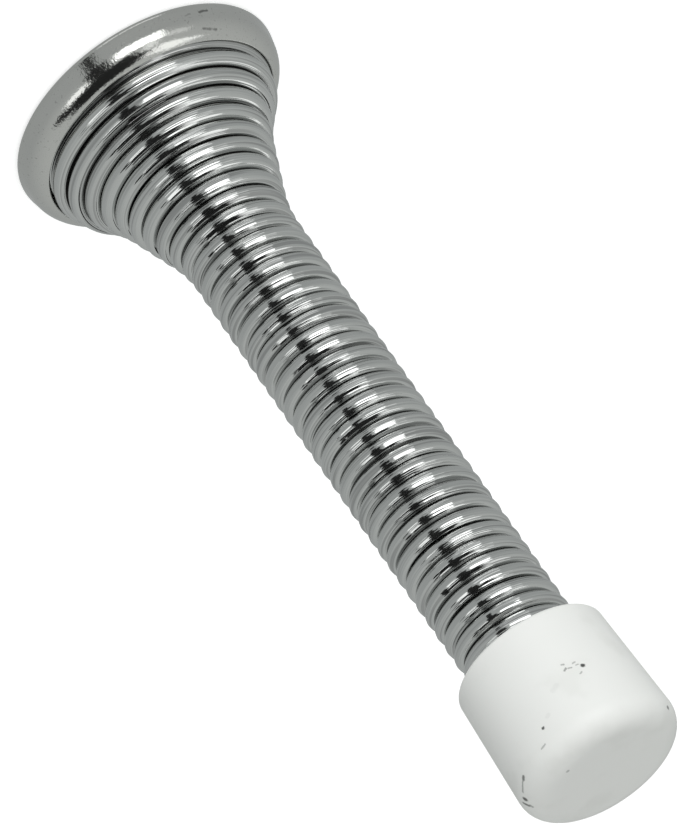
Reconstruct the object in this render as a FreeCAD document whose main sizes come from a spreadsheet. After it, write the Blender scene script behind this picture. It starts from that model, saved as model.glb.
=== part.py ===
import FreeCAD, Part
import math
import os
import Sketcher

# Spring door stop: a swaged steel cup, a flared close-wound spring and a moulded tip, all on the Z axis.
# The back of the cup lies on z = 0 and the tip points up. Lengths are in millimetres, angles in degrees.

doc = FreeCAD.newDocument("SpringDoorStop")
sheet = doc.addObject("Spreadsheet::Sheet", "Sizes")

driving_sizes = {
    "overall_length": 80.0,
    # cup, measured outside; its wall leans a little up to the knee, then bends over to the mouth
    "base_diameter": 26.3,
    "cup_height": 3.4,
    "cup_lip_width": 1.25,
    "cup_lip_rise": 0.65,
    "cup_wall_lean": 11.31,
    "cup_wall_bend": 2.05,
    "cup_sheet": 0.45,
    "cup_back_edge_radius": 0.6,
    "cup_rim_radius": 0.1,
    "screw_hole_diameter": 4.2,
    # spring: the barrel is measured outside, the flare on the middle of the wire
    "wire_diameter": 1.59,
    "turn_gap": 0.025,
    "barrel_diameter": 10.8,
    "flare_top_height": 16.7,
    "flare_top_bend": 12.8,
    "flare_middle_height": 7.6,
    "flare_middle_diameter": 15.6,
    "flare_middle_bend": 12.8,
    "flare_heel_rise": 0.9,
    "flare_heel_bend": 3.4,
    "flare_foot_spread": 0.15,
    "flare_foot_bend": 2.0,
    "wire_start_angle": 208.0,
    "seat_clearance": 0.02,
    # tip
    "tip_length": 12.9,
    "tip_mouth_diameter": 14.2,
    "tip_front_diameter": 15.4,
    "tip_front_wall": 4.0,
    "tip_front_edge_radius": 2.2,
    "tip_mouth_edge_radius": 0.4,
    "tip_bore_clearance": 0.03,
}
for row, (name, value) in enumerate(driving_sizes.items(), start=1):
    sheet.set(f"A{row}", name)
    sheet.set(f"B{row}", str(value))
    sheet.setAlias(f"B{row}", name)
doc.recompute()


def size(name):
    return float(getattr(sheet, name))


def sketch_on(body, name, plane_role):
    sketch = body.newObject("Sketcher::SketchObject", name)
    plane = next(f for f in body.Origin.OriginFeatures if f.Role == plane_role)
    sketch.AttachmentSupport = [(plane, "")]
    sketch.MapMode = "FlatFace"
    return sketch


def section(body, name, corners):
    # A closed outline of straight sides, in the XZ plane. A corner is a radius and a height, each a
    # formula of the sheet's values, or None where the corner lies on the axis or on z = 0.
    sketch = sketch_on(body, name, "XZ_Plane")
    count = len(corners)
    turns = [2 * math.pi * i / count for i in range(count)]
    starts = [FreeCAD.Vector(2 + math.cos(a), 2 + math.sin(a), 0) for a in turns]
    for i in range(count):
        sketch.addGeometry(Part.LineSegment(starts[i], starts[(i + 1) % count]))
    for i, (radius, height) in enumerate(corners):
        sketch.addConstraint(Sketcher.Constraint("Coincident", i, 2, (i + 1) % count, 1))
        for kind, axis, start, formula in (
            ("DistanceX", -2, starts[i].x, radius),
            ("DistanceY", -1, starts[i].y, height),
        ):
            if formula is None:
                sketch.addConstraint(Sketcher.Constraint("PointOnObject", i, 1, axis))
            else:
                k = sketch.addConstraint(Sketcher.Constraint(kind, -1, 1, i, 1, start))
                sketch.setExpression(f"Constraints[{k}]", formula)
    return sketch


def revolve(body, name, sketch):
    turned = body.newObject("PartDesign::Revolution", name)
    turned.Profile = sketch
    turned.ReferenceAxis = (sketch, ["V_Axis"])
    turned.Angle = 360.0
    doc.recompute()
    return turned


def rings_at(feature, height):
    # The round edges of a turned piece at one height, from the inside out
    rings = []
    for i, edge in enumerate(feature.Shape.Edges, start=1):
        if isinstance(edge.Curve, Part.Circle) and abs(edge.Curve.Center.z - height) < 1e-6:
            rings.append((edge.Curve.Radius, f"Edge{i}"))
    return [edge for radius, edge in sorted(rings)]


def round_edges(body, name, base, edges, radius):
    rounded = body.newObject("PartDesign::Fillet", name)
    rounded.Base = (base, edges)
    rounded.setExpression("Radius", radius)
    doc.recompute()
    return rounded


# Cup: one pressed sheet with a flat back, its wall bent in so that the rim holds the spring's widest turns
cup = doc.addObject("PartDesign::Body", "base_cup")
base_radius = "Sizes.base_diameter / 2"
wall_lean = "Sizes.cup_wall_lean * 1 deg"
knee_height = "(Sizes.cup_height - Sizes.cup_lip_rise)"
knee_radius = f"({base_radius} - {knee_height} * tan({wall_lean}))"
mouth_radius = f"({knee_radius} - Sizes.cup_lip_width)"
lip_lean = "atan(Sizes.cup_lip_width / Sizes.cup_lip_rise)"
half_bend = f"(({lip_lean} - {wall_lean}) / 2)"
knee_lean = f"(({lip_lean} + {wall_lean}) / 2)"
knee_sheet = f"Sizes.cup_sheet / cos({half_bend})"
inner_knee_radius = f"{knee_radius} - {knee_sheet} * cos({knee_lean})"
inner_knee_height = f"{knee_height} - {knee_sheet} * sin({knee_lean})"
inner_floor_radius = f"{base_radius} - Sizes.cup_sheet * (1 / cos({wall_lean}) + tan({wall_lean}))"
cup_section = section(cup, "CupSection", [
    (None, None),
    (base_radius, None),
    (knee_radius, knee_height),
    (mouth_radius, "Sizes.cup_height"),
    (mouth_radius, f"Sizes.cup_height - Sizes.cup_sheet / sin({lip_lean})"),
    (inner_knee_radius, inner_knee_height),
    (inner_floor_radius, "Sizes.cup_sheet"),
    (None, "Sizes.cup_sheet"),
])
cup_formed = revolve(cup, "CupForming", cup_section)

# the wall's bend takes up at most this share of the straight run on either side of it
bend_share = 0.95
wall_run = f"{knee_height} / cos({wall_lean}) - Sizes.cup_back_edge_radius"
lip_run = f"Sizes.cup_lip_rise / cos({lip_lean}) - Sizes.cup_sheet / tan({lip_lean}) - Sizes.cup_rim_radius"
wall_bend = f"min(Sizes.cup_wall_bend; {bend_share} * min({wall_run}; {lip_run}) / tan({half_bend}))"

wall_angle = math.radians(size("cup_wall_lean"))
knee = size("cup_height") - size("cup_lip_rise")
lip_angle = math.atan2(size("cup_lip_width"), size("cup_lip_rise"))
half_angle = (lip_angle - wall_angle) / 2
inner_knee = knee - size("cup_sheet") * math.sin(wall_angle + half_angle) / math.cos(half_angle)
inner_rim = size("cup_height") - size("cup_sheet") / math.sin(lip_angle)
for name, heights, radius in (
    ("CupBackEdge", [0.0], "Sizes.cup_back_edge_radius"),
    ("CupFloorEdge", [size("cup_sheet")], "Sizes.cup_back_edge_radius - Sizes.cup_sheet"),
    ("CupWallBend", [knee], wall_bend),
    ("CupInnerBend", [inner_knee], f"{wall_bend} - Sizes.cup_sheet"),
    ("CupRim", [size("cup_height"), inner_rim], "Sizes.cup_rim_radius"),
):
    edges = [edge for height in heights for edge in rings_at(cup_formed, height)]
    cup_formed = round_edges(cup, name, cup_formed, edges, radius)

hole_sketch = sketch_on(cup, "ScrewHoleSketch", "XY_Plane")
hole_sketch.addGeometry(Part.Circle(FreeCAD.Vector(), FreeCAD.Vector(0, 0, 1), 1.0))
hole_sketch.addConstraint(Sketcher.Constraint("Coincident", 0, 3, -1, 1))
k = hole_sketch.addConstraint(Sketcher.Constraint("Diameter", 0, 2.0))
hole_sketch.setExpression(f"Constraints[{k}]", "Sizes.screw_hole_diameter")
screw_hole = cup.newObject("PartDesign::Pocket", "ScrewHole")
screw_hole.Profile = hole_sketch
screw_hole.Type = "ThroughAll"
screw_hole.Reversed = True
doc.recompute()
if screw_hole.Shape.Volume >= cup_formed.Shape.Volume:
    raise RuntimeError("the screw hole cut nothing")


# Spring: the wire's middle follows a flared surface of revolution, whose section is straight runs and bends
wire_radius = size("wire_diameter") / 2
turn_pitch = size("wire_diameter") + size("turn_gap")

# in the mouth the wire passes inside the lip, and its foot spreads out below the lip, which holds it
mouth = size("base_diameter") / 2 - knee * math.tan(wall_angle) - size("cup_lip_width")
heel_radius = mouth - size("seat_clearance") - wire_radius
heel_start = size("cup_sheet") + size("seat_clearance") + wire_radius
heel_end = size("cup_height") + size("flare_heel_rise")
barrel_radius = size("barrel_diameter") / 2 - wire_radius
barrel_end = size("overall_length") - size("tip_front_wall") - size("seat_clearance") - wire_radius

# corners of the section, from the cup to the tip, each with the radius of its bend
flare_corners = [
    (heel_radius + size("flare_foot_spread"), heel_start, None),
    (heel_radius, inner_rim, size("flare_foot_bend")),
    (heel_radius, heel_end, size("flare_heel_bend")),
    (size("flare_middle_diameter") / 2, size("flare_middle_height"), size("flare_middle_bend")),
    (barrel_radius, size("flare_top_height"), size("flare_top_bend")),
    (barrel_radius, barrel_end, None),
]


def bent_line(corners):
    # Straight runs joined by tangent arcs, in the XZ plane; the run before a bend limits it
    points = [FreeCAD.Vector(radius, 0, height) for radius, height, bend in corners]
    edges = []
    last = points[0]
    for before, corner, after, (_, _, bend) in zip(points, points[1:], points[2:], corners[1:]):
        way_in = (corner - before).normalize()
        way_out = (after - corner).normalize()
        half_turn = way_in.getAngle(way_out) / 2
        bend = min(bend, bend_share * (corner - last).Length / math.tan(half_turn))
        reach = bend * math.tan(half_turn)
        sagitta = bend / math.cos(half_turn) - bend
        arc_start = corner - way_in * reach
        arc_end = corner + way_out * reach
        arc_middle = corner + (way_out - way_in).normalize() * sagitta
        edges.append(Part.LineSegment(last, arc_start).toShape())
        edges.append(Part.Arc(arc_start, arc_middle, arc_end).toShape())
        last = arc_end
    edges.append(Part.LineSegment(last, points[-1]).toShape())
    return Part.Wire(edges)


flare_line = bent_line(flare_corners)
turn_count = flare_line.Length / turn_pitch


def wire_at(turn):
    # The wire's middle and its direction after so many turns of a left-hand coil
    along = turn * turn_pitch
    *first_edges, edge = flare_line.OrderedEdges
    for earlier in first_edges:
        if along <= earlier.Length:
            edge = earlier
            break
        along -= earlier.Length
    place = edge.getParameterByLength(min(along, edge.Length))
    spot = edge.valueAt(place)
    climb = edge.tangentAt(place) * turn_pitch
    angle = math.radians(size("wire_start_angle")) - 2 * math.pi * turn
    outward = FreeCAD.Vector(math.cos(angle), math.sin(angle), 0)
    round_way = FreeCAD.Vector(math.sin(angle), -math.cos(angle), 0)
    up = FreeCAD.Vector(0, 0, 1)
    direction = outward * climb.x + up * climb.z + round_way * (2 * math.pi * spot.x)
    return outward * spot.x + up * spot.z, direction.normalize()


def arc_from(start, direction, end):
    # The arc that leaves start along direction and ends at end
    chord = end - start
    half_turn = direction.getAngle(chord)
    side = (direction - chord * (direction.dot(chord) / chord.dot(chord))).normalize()
    middle = (start + end) / 2 + side * (chord.Length * math.tan(half_turn / 2) / 2)
    return Part.Arc(start, middle, end).toShape()


def arc_pair(start, start_way, end, end_way):
    # Two tangent arcs that join two points of the coil with the coil's own direction at both
    chord = end - start
    bend = 2 * (1 - start_way.dot(end_way))
    lean = 2 * chord.dot(start_way + end_way)
    reach = (math.sqrt(lean * lean + 4 * bend * chord.dot(chord)) - lean) / (2 * bend)
    first = start + start_way * reach
    second = end - end_way * reach
    joint = (first + second) / 2
    return [arc_from(start, start_way, joint), arc_from(joint, (second - first).normalize(), end)]


spans_per_turn = 3
span_count = math.ceil(turn_count * spans_per_turn)
coil_points = [wire_at(turn_count * i / span_count) for i in range(span_count + 1)]
coil_edges = []
for (start, start_way), (end, end_way) in zip(coil_points, coil_points[1:]):
    coil_edges += arc_pair(start, start_way, end, end_way)
coil_path = doc.addObject("Part::Feature", "CoilPath")
coil_path.Shape = Part.Wire(coil_edges)

wire_section = doc.addObject("Part::Circle", "WireSection")
wire_section.setExpression("Radius", "Sizes.wire_diameter / 2")
first_point, first_way = coil_points[0]
wire_section.Placement = FreeCAD.Placement(first_point, FreeCAD.Rotation(FreeCAD.Vector(0, 0, 1), first_way))
spring = doc.addObject("Part::Sweep", "spring")
spring.Sections = [wire_section]
spring.Spine = (coil_path, [])
spring.Solid = True
spring.Frenet = True
doc.recompute()
drawn_volume = math.pi * wire_radius ** 2 * coil_path.Shape.Length
if abs(spring.Shape.Volume - drawn_volume) > 0.001 * drawn_volume:
    raise RuntimeError("the spring's volume is not its wire's section times its length")


# Tip: a moulded cap that widens to its flat front, with a blind bore over the spring's last turns
tip = doc.addObject("PartDesign::Body", "tip_cap")
tip_mouth = "Sizes.overall_length - Sizes.tip_length"
bore_radius = "Sizes.barrel_diameter / 2 + Sizes.tip_bore_clearance"
bore_end = "Sizes.overall_length - Sizes.tip_front_wall"
tip_section = section(tip, "TipSection", [
    (bore_radius, tip_mouth),
    ("Sizes.tip_mouth_diameter / 2", tip_mouth),
    ("Sizes.tip_front_diameter / 2", "Sizes.overall_length"),
    (None, "Sizes.overall_length"),
    (None, bore_end),
    (bore_radius, bore_end),
])
tip_moulded = revolve(tip, "TipMoulding", tip_section)
front_ring = rings_at(tip_moulded, size("overall_length"))
tip_front = round_edges(tip, "TipFrontEdge", tip_moulded, front_ring, "Sizes.tip_front_edge_radius")
mouth_rings = rings_at(tip_front, size("overall_length") - size("tip_length"))
round_edges(tip, "TipMouthEdges", tip_front, mouth_rings, "Sizes.tip_mouth_edge_radius")


# Every piece is checked before any file is written
pieces = [cup, spring, tip]
for item in doc.Objects:
    if "Invalid" in item.State or "Error" in item.State:
        raise RuntimeError(f"{item.Name} did not build")
for piece in pieces:
    shape = piece.Shape
    if shape.isNull() or not shape.isValid() or len(shape.Solids) != 1:
        raise RuntimeError(f"{piece.Name} is not one sound solid")
    print(f"{piece.Label}: {shape.Volume:.1f} mm3")
print(f"spring: {turn_count:.2f} turns, {coil_path.Shape.Length:.0f} mm of wire")

os.makedirs("parts", exist_ok=True)
for piece in pieces:
    piece.Shape.exportStep(f"parts/{piece.Label}.step")
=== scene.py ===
import math
import bmesh
import bpy
from mathutils import Matrix, Vector


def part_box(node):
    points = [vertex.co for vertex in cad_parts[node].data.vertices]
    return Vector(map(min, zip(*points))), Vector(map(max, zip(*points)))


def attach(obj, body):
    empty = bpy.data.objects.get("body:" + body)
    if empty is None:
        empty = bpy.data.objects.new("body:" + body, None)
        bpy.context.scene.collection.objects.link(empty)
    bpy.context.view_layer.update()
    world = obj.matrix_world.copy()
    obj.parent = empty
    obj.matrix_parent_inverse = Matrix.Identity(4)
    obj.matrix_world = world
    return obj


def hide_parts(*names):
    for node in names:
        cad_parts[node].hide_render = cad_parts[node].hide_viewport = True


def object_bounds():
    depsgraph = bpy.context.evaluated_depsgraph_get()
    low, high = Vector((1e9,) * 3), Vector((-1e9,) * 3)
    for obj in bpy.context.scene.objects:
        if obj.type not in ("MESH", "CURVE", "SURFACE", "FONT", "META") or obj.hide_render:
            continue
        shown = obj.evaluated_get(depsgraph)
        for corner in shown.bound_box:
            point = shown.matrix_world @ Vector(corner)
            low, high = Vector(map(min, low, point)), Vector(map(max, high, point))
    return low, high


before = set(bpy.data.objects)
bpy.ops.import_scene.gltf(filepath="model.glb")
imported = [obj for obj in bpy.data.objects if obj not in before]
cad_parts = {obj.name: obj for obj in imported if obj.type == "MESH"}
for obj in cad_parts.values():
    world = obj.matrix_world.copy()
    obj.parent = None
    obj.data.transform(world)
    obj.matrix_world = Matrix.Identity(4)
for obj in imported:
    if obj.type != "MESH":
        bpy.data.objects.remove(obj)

mm = 0.001
mergeReach = 0.001 * mm
cadLow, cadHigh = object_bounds()
print("frame loaded:", ", ".join(sorted(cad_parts)))


class Shade:
    # a shader socket that takes part in sums
    def __init__(self, tree, socket=None):
        self.tree = tree
        self.socket = socket

    def node(self, kind, inputs, output=0, **settings):
        made = self.tree.nodes.new("ShaderNode" + kind)
        for key, value in settings.items():
            setattr(made, key, value)
        for key, value in inputs.items():
            if isinstance(value, Shade):
                self.tree.links.new(value.socket, made.inputs[key])
            else:
                made.inputs[key].default_value = value
        return Shade(self.tree, made.outputs[output])

    def sum(self, operation, *values):
        return self.node("Math", dict(enumerate(values)), operation=operation)

    def __add__(self, other):
        return self.sum("ADD", self, other)

    def __radd__(self, other):
        return self.sum("ADD", other, self)

    def __sub__(self, other):
        return self.sum("SUBTRACT", self, other)

    def __rsub__(self, other):
        return self.sum("SUBTRACT", other, self)

    def __mul__(self, other):
        return self.sum("MULTIPLY", self, other)

    def __rmul__(self, other):
        return self.sum("MULTIPLY", other, self)

    def fade(self, full, none):
        # 1 at full, 0 at none, soft in between
        return self.node("MapRange", {0: self, 1: none, 2: full}, interpolation_type="SMOOTHSTEP")

    def vector(self, operation, *values, output="Vector", **named):
        inputs = dict(enumerate(values))
        inputs.update(named)
        return self.node("VectorMath", inputs, output=output, operation=operation)

    def noise(self, coordinates, scale, detail=2.0, roughness=0.5, output=0):
        inputs = {"Vector": coordinates, "Scale": scale, "Detail": detail, "Roughness": roughness}
        return self.node("TexNoise", inputs, output=output)

    def shaken(self, coordinates, scale, reach):
        # coordinates moved about by up to half the reach, for ragged edges
        ragged = self.noise(coordinates, scale, output="Color")
        moved = self.vector("ADD", coordinates, self.vector("SCALE", ragged, Scale=reach))
        return self.vector("SUBTRACT", moved, (reach / 2, reach / 2, reach / 2))

    def stroke(self, coordinates, start, end, halfWidth, softness):
        # a mark drawn from start to end, 1 on its line
        reach = end - start
        offset = self.vector("SUBTRACT", coordinates, start)
        along = self.vector("DOT_PRODUCT", offset, reach / reach.length_squared, output="Value")
        along = self.sum("MINIMUM", self.sum("MAXIMUM", along, 0.0), 1.0)
        offset = self.vector("SUBTRACT", offset, self.vector("SCALE", reach, Scale=along))
        distance = self.vector("LENGTH", offset, output="Value")
        return distance.fade(halfWidth * (1 - softness), halfWidth)

    def marks(self, coordinates, strokes, softness):
        # the strongest of several strokes: start, end and half width in millimetres, then strength
        drawn = None
        for start, end, halfWidth, strength in strokes:
            line = self.stroke(coordinates, Vector(start) * mm, Vector(end) * mm, halfWidth * mm, softness)
            mark = line * strength
            drawn = mark if drawn is None else self.sum("MAXIMUM", drawn, mark)
        return drawn

    def mix(self, factor, first, second):
        return self.node("Mix", {0: factor, 6: first, 7: second}, output=2, data_type="RGBA")


def newMaterial(name):
    material = bpy.data.materials.new(name)
    material.use_nodes = True
    material.node_tree.nodes.clear()
    shade = Shade(material.node_tree)
    coordinates = shade.node("TexCoord", {}, output="Object")
    return material, shade, coordinates


def closeMaterial(shade, inputs):
    surface = shade.node("BsdfPrincipled", inputs)
    output = shade.tree.nodes.new("ShaderNodeOutputMaterial")
    shade.tree.links.new(surface.socket, output.inputs["Surface"])


def addObject(bm, name):
    for face in bm.faces:
        face.smooth = True
    mesh = bpy.data.meshes.new(name)
    bm.to_mesh(mesh)
    bm.free()
    made = bpy.data.objects.new(name, mesh)
    bpy.context.scene.collection.objects.link(made)
    return made


def standFor(piece, node, material):
    piece.data.materials.append(material)
    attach(piece, "root")
    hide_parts(node)


def latheCorners(bm, corners, roundSegments, closed):
    # an outline of straight runs in the XZ plane: each corner is a radius, a height and a bend
    points = [bm.verts.new((radius, 0, height)) for radius, height, bend in corners]
    pairs = list(zip(points, points[1:] + points[:1]))
    for a, b in pairs if closed else pairs[:-1]:
        bm.edges.new((a, b))
    places = [Vector((radius, 0, height)) for radius, height, bend in corners]
    for i, (radius, height, bend) in enumerate(corners):
        if bend:
            wayIn = places[i] - places[i - 1]
            wayOut = places[(i + 1) % len(places)] - places[i]
            reach = bend * math.tan(wayIn.angle(wayOut) / 2)
            bmesh.ops.bevel(bm, geom=[points[i]], offset=reach, offset_type="OFFSET",
                            segments=roundSegments, profile=0.5, affect="VERTICES", material=-1,
                            clamp_overlap=False)


def lathe(corners, roundSegments, turnSteps, runLength, closed):
    bm = bmesh.new()
    latheCorners(bm, corners, roundSegments, closed)
    longRuns = [edge for edge in bm.edges if edge.calc_length() > 2 * runLength]
    for edge in longRuns:
        bmesh.ops.subdivide_edges(bm, edges=[edge], cuts=int(edge.calc_length() / runLength))
    bmesh.ops.spin(bm, geom=bm.verts[:] + bm.edges[:], cent=(0, 0, 0), axis=(0, 0, 1),
                   dvec=(0, 0, 0), angle=2 * math.pi, steps=turnSteps, use_merge=True,
                   use_duplicate=False)
    bmesh.ops.remove_doubles(bm, verts=bm.verts[:], dist=mergeReach)
    bmesh.ops.recalc_face_normals(bm, faces=bm.faces[:])
    return bm


# base cup: one pressed sheet, its wall bent over to a lip that holds the widest turns
cup = dict(
    radius=13.15 * mm,
    mouthRadius=11.35 * mm,
    height=3.4 * mm,
    kneeHeight=2.75 * mm,
    kneeRadius=12.6 * mm,
    wallBend=2.05 * mm,
    sheet=0.45 * mm,
    backEdge=0.6 * mm,
    rim=0.1 * mm,
    holeRadius=2.1 * mm,
    roundSegments=10,
    turnSteps=192,
    runLength=0.25 * mm,
)
cup["wallLean"] = math.atan2(cup["radius"] - cup["kneeRadius"], cup["kneeHeight"])
cup["lipLean"] = math.atan2(cup["kneeRadius"] - cup["mouthRadius"], cup["height"] - cup["kneeHeight"])
cup["innerRim"] = cup["height"] - cup["sheet"] / math.sin(cup["lipLean"])


def buildCup():
    kneeLean = (cup["lipLean"] + cup["wallLean"]) / 2
    kneeSheet = cup["sheet"] / math.cos((cup["lipLean"] - cup["wallLean"]) / 2)
    wallReach = 1 / math.cos(cup["wallLean"]) + math.tan(cup["wallLean"])
    innerFloor = cup["radius"] - cup["sheet"] * wallReach
    innerKneeRadius = cup["kneeRadius"] - kneeSheet * math.cos(kneeLean)
    innerKneeHeight = cup["kneeHeight"] - kneeSheet * math.sin(kneeLean)
    corners = [
        (cup["holeRadius"], 0, 0),
        (cup["radius"], 0, cup["backEdge"]),
        (cup["kneeRadius"], cup["kneeHeight"], cup["wallBend"]),
        (cup["mouthRadius"], cup["height"], cup["rim"]),
        (cup["mouthRadius"], cup["innerRim"], cup["rim"]),
        (innerKneeRadius, innerKneeHeight, cup["wallBend"] - cup["sheet"]),
        (innerFloor, cup["sheet"], cup["backEdge"] - cup["sheet"]),
        (cup["holeRadius"], cup["sheet"], 0),
    ]
    bm = lathe(corners, cup["roundSegments"], cup["turnSteps"], cup["runLength"], True)
    return addObject(bm, "baseCup")


# spring: a left-hand coil, wound straight and then drawn out over its flared section
spring = dict(
    wireRadius=0.795 * mm,
    turnGap=0.025 * mm,
    barrelRadius=5.4 * mm,
    flareTop=16.7 * mm,
    flareTopBend=12.8 * mm,
    flareMiddle=7.6 * mm,
    flareMiddleRadius=7.8 * mm,
    flareMiddleBend=12.8 * mm,
    heelRise=0.9 * mm,
    heelBend=3.4 * mm,
    footSpread=0.15 * mm,
    footBend=2.0 * mm,
    startAngle=math.radians(208.0),
    seatGap=0.02 * mm,
    tipWall=4.0 * mm,
    stepsPerTurn=96,
    sectionSides=16,
    joinReach=0.002 * mm,
)


def flareRuns():
    # runs of the section from the cup to the tip: start, direction, length and bend
    reach = spring["wireRadius"] + spring["seatGap"]
    heel = cup["mouthRadius"] - reach
    barrel = spring["barrelRadius"] - spring["wireRadius"]
    barrelEnd = cadHigh.z - spring["tipWall"] - reach
    corners = [
        (heel + spring["footSpread"], cup["sheet"] + reach, 0),
        (heel, cup["innerRim"], spring["footBend"]),
        (heel, cup["height"] + spring["heelRise"], spring["heelBend"]),
        (spring["flareMiddleRadius"], spring["flareMiddle"], spring["flareMiddleBend"]),
        (barrel, spring["flareTop"], spring["flareTopBend"]),
        (barrel, barrelEnd, 0),
    ]
    points = [Vector((radius, height)) for radius, height, bend in corners]
    runs = []
    last = points[0]
    for before, corner, after, (_, _, bend) in zip(points, points[1:], points[2:], corners[1:]):
        wayIn = (corner - before).normalized()
        wayOut = (after - corner).normalized()
        turn = wayOut.angle_signed(wayIn)
        reach = bend * math.tan(abs(turn) / 2)
        runs.append((last, wayIn, (corner - wayIn * reach - last).length, 0.0))
        runs.append((corner - wayIn * reach, wayIn, bend * abs(turn), turn))
        last = corner + wayOut * reach
    runs.append((last, wayOut, (points[-1] - last).length, 0.0))
    return runs


def alongFlare(runs, along):
    # place and direction of the section after a length
    for start, way, length, turn in runs:
        if along <= length or start is runs[-1][0]:
            break
        along -= length
    if turn:
        angle = turn * along / length
        bend = length / abs(turn)
        side = Vector((way.y, -way.x)) * math.copysign(1, -turn)
        place = start + way * (bend * math.sin(abs(angle))) + side * (bend * (1 - math.cos(angle)))
        way = Matrix.Rotation(angle, 2) @ way
    else:
        place = start + way * along
    return place, way


def windWire(bm, turns, lift):
    # the wire round the barrel for so many turns, starting at a height
    pitch = 2 * spring["wireRadius"] + spring["turnGap"]
    steps = max(1, round(turns * spring["stepsPerTurn"]))
    circle = bmesh.ops.create_circle(bm, segments=spring["sectionSides"], radius=spring["wireRadius"])
    ring = circle["verts"]
    stand = Matrix.Translation((spring["barrelRadius"] - spring["wireRadius"], 0, lift))
    upright = Matrix.Rotation(math.pi / 2, 4, "X")
    turned = Matrix.Rotation(spring["startAngle"], 4, "Z") @ stand @ upright
    bmesh.ops.transform(bm, matrix=turned, verts=ring)
    edges = list({edge for vert in ring for edge in vert.link_edges})
    bmesh.ops.spin(bm, geom=ring + edges, cent=(0, 0, 0), axis=(0, 0, -1),
                   dvec=(0, 0, turns * pitch / steps), angle=2 * math.pi * turns, steps=steps,
                   use_merge=False, use_duplicate=False)


def buildSpring():
    runs = flareRuns()
    pitch = 2 * spring["wireRadius"] + spring["turnGap"]
    turns = sum(run[2] for run in runs) / pitch
    wholeTurns = int(turns)
    barrel = spring["barrelRadius"] - spring["wireRadius"]
    bm = bmesh.new()
    windWire(bm, 1, 0)
    oneTurn = bm.verts[:] + bm.edges[:] + bm.faces[:]
    for i in range(1, wholeTurns):
        copied = bmesh.ops.duplicate(bm, geom=oneTurn)["geom"]
        copiedVerts = [item for item in copied if isinstance(item, bmesh.types.BMVert)]
        bmesh.ops.translate(bm, vec=(0, 0, i * pitch), verts=copiedVerts)
    windWire(bm, turns - wholeTurns, wholeTurns * pitch)
    bmesh.ops.remove_doubles(bm, verts=bm.verts[:], dist=spring["joinReach"])
    bmesh.ops.holes_fill(bm, edges=[edge for edge in bm.edges if edge.is_boundary], sides=0)
    bmesh.ops.recalc_face_normals(bm, faces=bm.faces[:])
    # each vertex keeps where it lies on the wire: outward, up and along
    wirePlace = bm.verts.layers.float_vector.new("wirePlace")
    for vert in bm.verts:
        radius = math.hypot(vert.co.x, vert.co.y)
        part = (spring["startAngle"] - math.atan2(vert.co.y, vert.co.x)) / (2 * math.pi)
        turn = part + round(vert.co.z / pitch - part)
        outward, lift = radius - barrel, vert.co.z - turn * pitch
        vert[wirePlace] = (outward, lift, turn * 2 * math.pi * barrel)
        place, way = alongFlare(runs, turn * pitch)
        place = place + Vector((way.y, -way.x)) * outward + way * lift
        vert.co = (vert.co.x / radius * place.x, vert.co.y / radius * place.x, place.y)
    print(f"spring: {turns:.2f} turns, {len(bm.faces)} faces")
    return addObject(bm, "coilSpring")


# tip: a moulded cap with a blind bore
tip = dict(
    mouthRadius=7.1 * mm,
    frontRadius=7.7 * mm,
    boreGap=0.03 * mm,
    frontEdge=2.2 * mm,
    mouthEdge=0.4 * mm,
    roundSegments=10,
    turnSteps=128,
    runLength=0.5 * mm,
)
tip["mouth"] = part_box("tip_cap")[0].z
tip["front"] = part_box("tip_cap")[1].z


def buildTip():
    bore = spring["barrelRadius"] + tip["boreGap"]
    boreEnd = tip["front"] - spring["tipWall"]
    corners = [
        (0, boreEnd, 0),
        (bore, boreEnd, 0),
        (bore, tip["mouth"], tip["mouthEdge"]),
        (tip["mouthRadius"], tip["mouth"], tip["mouthEdge"]),
        (tip["frontRadius"], tip["front"], tip["frontEdge"]),
        (0, tip["front"], 0),
    ]
    bm = lathe(corners, tip["roundSegments"], tip["turnSteps"], tip["runLength"], False)
    return addObject(bm, "tipCap")


# scuffs of the tip and dents of the cup, as strokes on the piece
tipMarks = [
    ((-3.28, -6.64, 73.71), (-3.32, -6.62, 73.69), 0.2565, 0.97),
    ((-1.88, -7.12, 72.77), (-2.03, -7.08, 72.85), 0.1215, 0.48),
    ((-1.82, -7.16, 73.39), (-2.01, -7.11, 73.29), 0.1485, 0.58),
    ((-2.20, -7.06, 73.37), (-2.43, -6.98, 73.45), 0.108, 0.52),
    ((-2.70, -6.87, 73.13), (-2.93, -6.77, 73.08), 0.0945, 0.42),
    ((-2.86, -6.82, 73.41), (-3.04, -6.74, 73.41), 0.0945, 0.45),
    ((-2.75, -6.91, 74.32), (-2.91, -6.84, 74.22), 0.108, 0.42),
    ((-0.09, -7.44, 74.43), (-0.56, -7.41, 74.22), 0.3375, 0.05),
    ((1.54, -7.36, 76.05), (1.37, -7.39, 76.00), 0.27, 0.06),
    ((2.37, -7.16, 76.62), (2.35, -7.16, 76.62), 0.189, 0.92),
    ((3.45, -6.77, 77.90), (3.00, -6.98, 77.86), 0.1215, 0.42),
    ((2.75, -4.76, 80.00), (2.72, -4.76, 80.00), 0.216, 0.40),
    ((6.02, -4.64, 78.01), (6.14, -4.46, 78.10), 0.2295, 0.75),
    ((6.20, -4.37, 78.10), (6.82, -3.19, 78.46), 0.1215, 0.50),
    ((7.03, -2.44, 78.71), (6.99, -2.45, 78.79), 0.324, 0.88),
    ((7.29, -1.67, 78.61), (7.04, -1.66, 79.09), 0.2295, 0.78),
    ((6.96, -1.78, 79.17), (6.87, -1.58, 79.33), 0.189, 0.50),
    ((-7.15, -1.66, 78.92), (-7.17, -1.49, 78.96), 0.216, 0.70),
]
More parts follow.
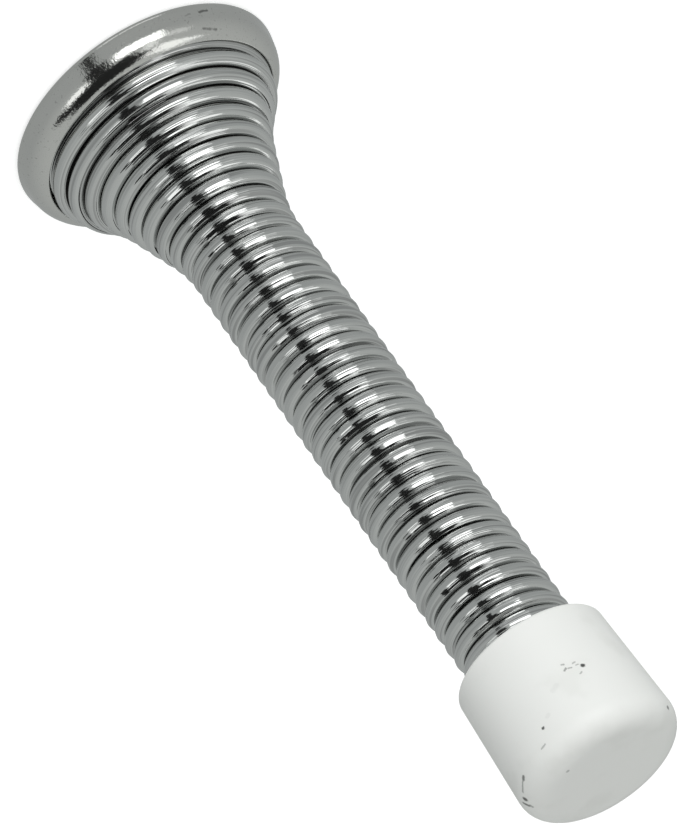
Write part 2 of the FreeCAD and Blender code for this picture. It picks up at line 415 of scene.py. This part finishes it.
cupDents = [
    ((-8.73, -9.49, 1.17), (-9.40, -8.86, 1.11), 0.17, 0.75),
    ((-8.19, -9.17, 2.61), (-9.09, -8.08, 2.77), 0.19, 0.7),
    ((-7.51, -10.45, 1.30), (-7.98, -10.13, 1.22), 0.12, 0.35),
]


# drawn wire: fine lines run along it, and painted shade darkens it deep between the turns
springLook = dict(
    lineScale=3400.0,
    lineStretch=(1.0, 1.0, 0.02),
    lineDip=(0.36, 0.46),
    lineDarkness=0.5,
    lineBump=0.8,
    lineDepth=0.2 * mm,
    cloudScale=260.0,
    grooveReach=(0.12, 0.58),
    grooveShade=0.66,
    brightest=(0.71, 0.72, 0.71, 1),
    dullest=(0.65, 0.66, 0.65, 1),
    lineTone=(0.30, 0.30, 0.30, 1),
    # dark tone of the painted shade between the turns
    dirtAndShade=(0.06, 0.06, 0.058, 1),
    roughness=0.06,
    cloudRoughness=0.06,
    grooveRoughness=0.25,
)


def springChrome():
    look = springLook
    material, shade, coordinates = newMaterial("springChrome")
    wire = shade.node("Attribute", {}, output="Vector", attribute_name="wirePlace")
    drawn = shade.vector("MULTIPLY", wire, look["lineStretch"])
    lines = shade.noise(drawn, look["lineScale"], 1.0, 0.4)
    cloud = shade.noise(coordinates, look["cloudScale"], 3.0)
    outward = shade.node("SeparateXYZ", {0: wire}, output="X")
    deep, clear = look["grooveReach"]
    # groove: 1 deep between the turns, where the base colour is darkened as painted shade
    groove = outward.fade(deep * spring["wireRadius"], clear * spring["wireRadius"])
    bright = shade.mix(cloud, look["brightest"], look["dullest"])
    bright = shade.mix(lines.fade(*look["lineDip"]) * look["lineDarkness"], bright, look["lineTone"])
    bump = {"Strength": look["lineBump"], "Distance": look["lineDepth"], "Height": lines}
    closeMaterial(shade, {
        "Base Color": shade.mix(groove * look["grooveShade"], bright, look["dirtAndShade"]),
        "Metallic": 1.0,
        "Roughness": look["roughness"] + look["cloudRoughness"] * cloud + look["grooveRoughness"] * groove,
        "Normal": shade.node("Bump", bump),
    })
    return material


# plating over pressed sheet: a little uneven, finely speckled, with a few dents
cupLook = dict(
    waveScale=420.0,
    grainScale=4200.0,
    grainHeight=1.1,
    cloudScale=180.0,
    raggedScale=2400.0,
    raggedReach=0.2 * mm,
    dentSoftness=0.8,
    speckRise=(0.70, 0.63),
    speckDarkness=0.25,
    brightest=(0.70, 0.70, 0.67, 1),
    dullest=(0.63, 0.635, 0.62, 1),
    dirtAndShade=(0.10, 0.10, 0.095, 1),
    roughness=0.07,
    cloudRoughness=0.08,
    speckRoughness=0.1,
    bump=0.25,
    bumpDepth=0.05 * mm,
)


def cupChrome():
    look = cupLook
    material, shade, coordinates = newMaterial("cupChrome")
    waves = shade.noise(coordinates, look["waveScale"])
    grain = shade.noise(coordinates, look["grainScale"], 2.0, 0.6)
    cloud = shade.noise(coordinates, look["cloudScale"], 3.0)
    shaken = shade.shaken(coordinates, look["raggedScale"], look["raggedReach"])
    dents = shade.marks(shaken, cupDents, look["dentSoftness"])
    speck = grain.fade(*look["speckRise"])
    bright = shade.mix(cloud, look["brightest"], look["dullest"])
    dark = shade.sum("MAXIMUM", speck * look["speckDarkness"], dents)
    height = waves + grain * look["grainHeight"] - dents
    bump = {"Strength": look["bump"], "Distance": look["bumpDepth"], "Height": height}
    closeMaterial(shade, {
        "Base Color": shade.mix(dark, bright, look["dirtAndShade"]),
        "Metallic": 1.0,
        "Roughness": look["roughness"] + look["cloudRoughness"] * cloud + look["speckRoughness"] * speck,
        "Normal": shade.node("Bump", bump),
    })
    return material


# soft white moulding with knocks and scuffs from the door
tipLook = dict(
    cloudScale=240.0,
    raggedScale=5200.0,
    raggedReach=0.16 * mm,
    markSoftness=0.6,
    markDepth=1.5,
    poreScale=2600.0,
    poreHeight=0.5,
    smearRise=(0.72, 0.52),
    smearStrength=0.5,
    white=(0.82, 0.825, 0.805, 1),
    smear=(0.74, 0.745, 0.72, 1),
    dirtAndShade=(0.035, 0.035, 0.033, 1),
    roughness=0.42,
    cloudRoughness=0.16,
    bump=0.22,
    bumpDepth=0.03 * mm,
)


def tipWhite():
    look = tipLook
    material, shade, coordinates = newMaterial("tipWhite")
    cloud = shade.noise(coordinates, look["cloudScale"], 4.0)
    shaken = shade.shaken(coordinates, look["raggedScale"], look["raggedReach"])
    dark = shade.marks(shaken, tipMarks, look["markSoftness"])
    pores = shade.noise(coordinates, look["poreScale"])
    smear = cloud.fade(*look["smearRise"]) * look["smearStrength"]
    white = shade.mix(smear, look["white"], look["smear"])
    height = pores * look["poreHeight"] + cloud - dark * look["markDepth"]
    bump = {"Strength": look["bump"], "Distance": look["bumpDepth"], "Height": height}
    closeMaterial(shade, {
        "Base Color": shade.mix(dark, white, look["dirtAndShade"]),
        "Roughness": look["roughness"] + look["cloudRoughness"] * cloud,
        "Normal": shade.node("Bump", bump),
    })
    return material


standFor(buildCup(), "base_cup", cupChrome())
standFor(buildSpring(), "spring", springChrome())
standFor(buildTip(), "tip_cap", tipWhite())
print("pieces built")

# camera: the axis leans towards it, and in the picture is turned from right round to down
view = dict(
    frameSize=(680, 826),
    sensor=36.0,
    clip=(0.01, 50.0),
    focalPixels=6772.0,
    distance=0.5836,
    lean=math.radians(29.36),
    axisTurn=math.radians(55.12),
    middlePixel=(368.7, 429.0),
    middleHeight=0.04,
)


def addCamera():
    data = bpy.data.cameras.new("camera")
    camera = bpy.data.objects.new("camera", data)
    bpy.context.scene.collection.objects.link(camera)
    wide, high = view["frameSize"]
    data.sensor_width = view["sensor"]
    data.lens = view["focalPixels"] * view["sensor"] / max(wide, high)
    data.clip_start, data.clip_end = view["clip"]
    lean, turn = view["lean"], view["axisTurn"]
    across, down = math.cos(turn), -math.sin(turn)
    axis = Vector((math.cos(lean) * across, math.cos(lean) * down, math.sin(lean)))
    ahead = Vector((math.sin(lean) * across, math.sin(lean) * down, -math.cos(lean)))
    turned = Matrix((ahead.cross(axis), ahead, axis))
    x, y = view["middlePixel"]
    perPixel = view["distance"] / view["focalPixels"]
    middle = Vector(((x - wide / 2) * perPixel, -(y - high / 2) * perPixel, -view["distance"]))
    place = Vector((0, 0, view["middleHeight"])) - turned @ middle
    camera.matrix_world = Matrix.Translation(place) @ turned.to_4x4()
    bpy.context.scene.camera = camera


addCamera()

# studio: panels stand at a turn from the camera side and a rise, and sizes are angles too, in degrees
studio = dict(
    centre=Vector((0, 0, 0.04)),
    reach=1.1,
    flagReach=1.067,
    surroundLow=(0.39, 0.405, 0.402, 1),
    surroundHigh=(0.52, 0.535, 0.525, 1),
    surroundRise=(0.9, -0.5),
    flagTone=(0.01, 0.01, 0.01, 1),
    floorTone=(0.88, 0.88, 0.88, 1),
    paperRoughness=0.9,
    floorHalf=4.0,
    floorDrop=0.02 * mm,
    floorGlow=0.55,
    # panels that the chrome mirrors: turn, rise, width, height and radiance
    windows=[
        (-39.0, 27.0, 22.0, 16.0, 0.8),
        (24.0, 12.0, 40.0, 32.0, 1.5),
        (22.0, 17.0, 30.0, 10.0, 1.6),
        (36.0, 38.0, 9.0, 22.0, 0.5),
        (56.0, 22.0, 20.0, 14.0, 0.25),
        (75.0, 62.0, 32.0, 24.0, 0.75),
        (172.0, 48.0, 26.0, 26.0, 0.7),
        (26.0, -44.0, 44.0, 16.0, 0.5),
    ],
    # panels that light the white tip and stay out of the chrome
    keys=[
        (24.0, -6.0, 40.0, 36.0, 4.4),
        (-75.0, 5.0, 60.0, 50.0, 0.45),
        (0.0, 85.0, 60.0, 60.0, 0.38),
    ],
    # black panels that only the chrome mirrors: turn, rise, width and height
    flags=[
        (-14.0, 20.0, 20.0, 48.0),
        (-64.0, 38.0, 13.0, 24.0),
        (-17.0, 62.0, 54.0, 44.0),
        (-176.0, 24.0, 12.0, 22.0),
        (-15.0, -17.0, 9.0, 28.0),
    ],
)


def panelPlace(turn, rise, reach):
    a, e = math.radians(turn), math.radians(rise)
    way = Vector((-math.sin(a) * math.cos(e), -math.cos(a) * math.cos(e), math.sin(e)))
    facing = (-way).to_track_quat("-Z", "Y").to_matrix().to_4x4()
    return Matrix.Translation(studio["centre"] + way * reach) @ facing


def span(angle):
    return 2 * studio["reach"] * math.tan(math.radians(angle) / 2)


def addSurround():
    world = bpy.data.worlds.new("surround")
    bpy.context.scene.world = world
    world.use_nodes = True
    sky = Shade(world.node_tree)
    rise = sky.node("SeparateXYZ", {0: sky.node("TexCoord", {}, output="Generated")}, output="Z")
    glow = sky.mix(rise.fade(*studio["surroundRise"]), studio["surroundLow"], studio["surroundHigh"])
    world.node_tree.links.new(glow.socket, world.node_tree.nodes["Background"].inputs["Color"])


def addLamp(name, turn, rise, width, height, radiance):
    data = bpy.data.lights.new(name, "AREA")
    data.shape = "RECTANGLE"
    data.size = span(width)
    data.size_y = span(height)
    data.energy = radiance * math.pi * data.size * data.size_y
    lamp = bpy.data.objects.new(name, data)
    bpy.context.scene.collection.objects.link(lamp)
    lamp.matrix_world = panelPlace(turn, rise, studio["reach"])
    lamp.visible_camera = False
    return lamp


def addStudio():
    addSurround()
    for i, window in enumerate(studio["windows"]):
        addLamp(f"window{i + 1}", *window).visible_diffuse = False
    for i, key in enumerate(studio["keys"]):
        addLamp(f"key{i + 1}", *key).visible_glossy = False
    black, shade, coordinates = newMaterial("flagBlack")
    closeMaterial(shade, {"Base Color": studio["flagTone"], "Roughness": studio["paperRoughness"]})
    for i, (turn, rise, width, height) in enumerate(studio["flags"]):
        bm = bmesh.new()
        bmesh.ops.create_grid(bm, x_segments=1, y_segments=1, size=0.5)
        size = Matrix.Diagonal((span(width), span(height), 1, 1))
        stand = panelPlace(turn, rise, studio["flagReach"]) @ size
        bmesh.ops.transform(bm, matrix=stand, verts=bm.verts[:])
        flag = addObject(bm, f"flag{i + 1}")
        flag.data.materials.append(black)
        flag.visible_camera = False
        flag.visible_diffuse = False
        flag.visible_shadow = False


def addFloor():
    bm = bmesh.new()
    bmesh.ops.create_grid(bm, x_segments=1, y_segments=1, size=studio["floorHalf"])
    bmesh.ops.translate(bm, vec=(0, 0, -studio["floorDrop"]), verts=bm.verts[:])
    floor = addObject(bm, "floor")
    paper, shade, coordinates = newMaterial("floorPaper")
    closeMaterial(shade, {
        "Base Color": studio["floorTone"],
        "Roughness": studio["paperRoughness"],
        "Emission Color": (1, 1, 1, 1),
        "Emission Strength": studio["floorGlow"],
    })
    floor.data.materials.append(paper)
    floor.visible_glossy = False
    floor.visible_diffuse = False
    floor.visible_shadow = False


addStudio()
addFloor()
bpy.context.scene.view_settings.view_transform = "Standard"
print("studio set")
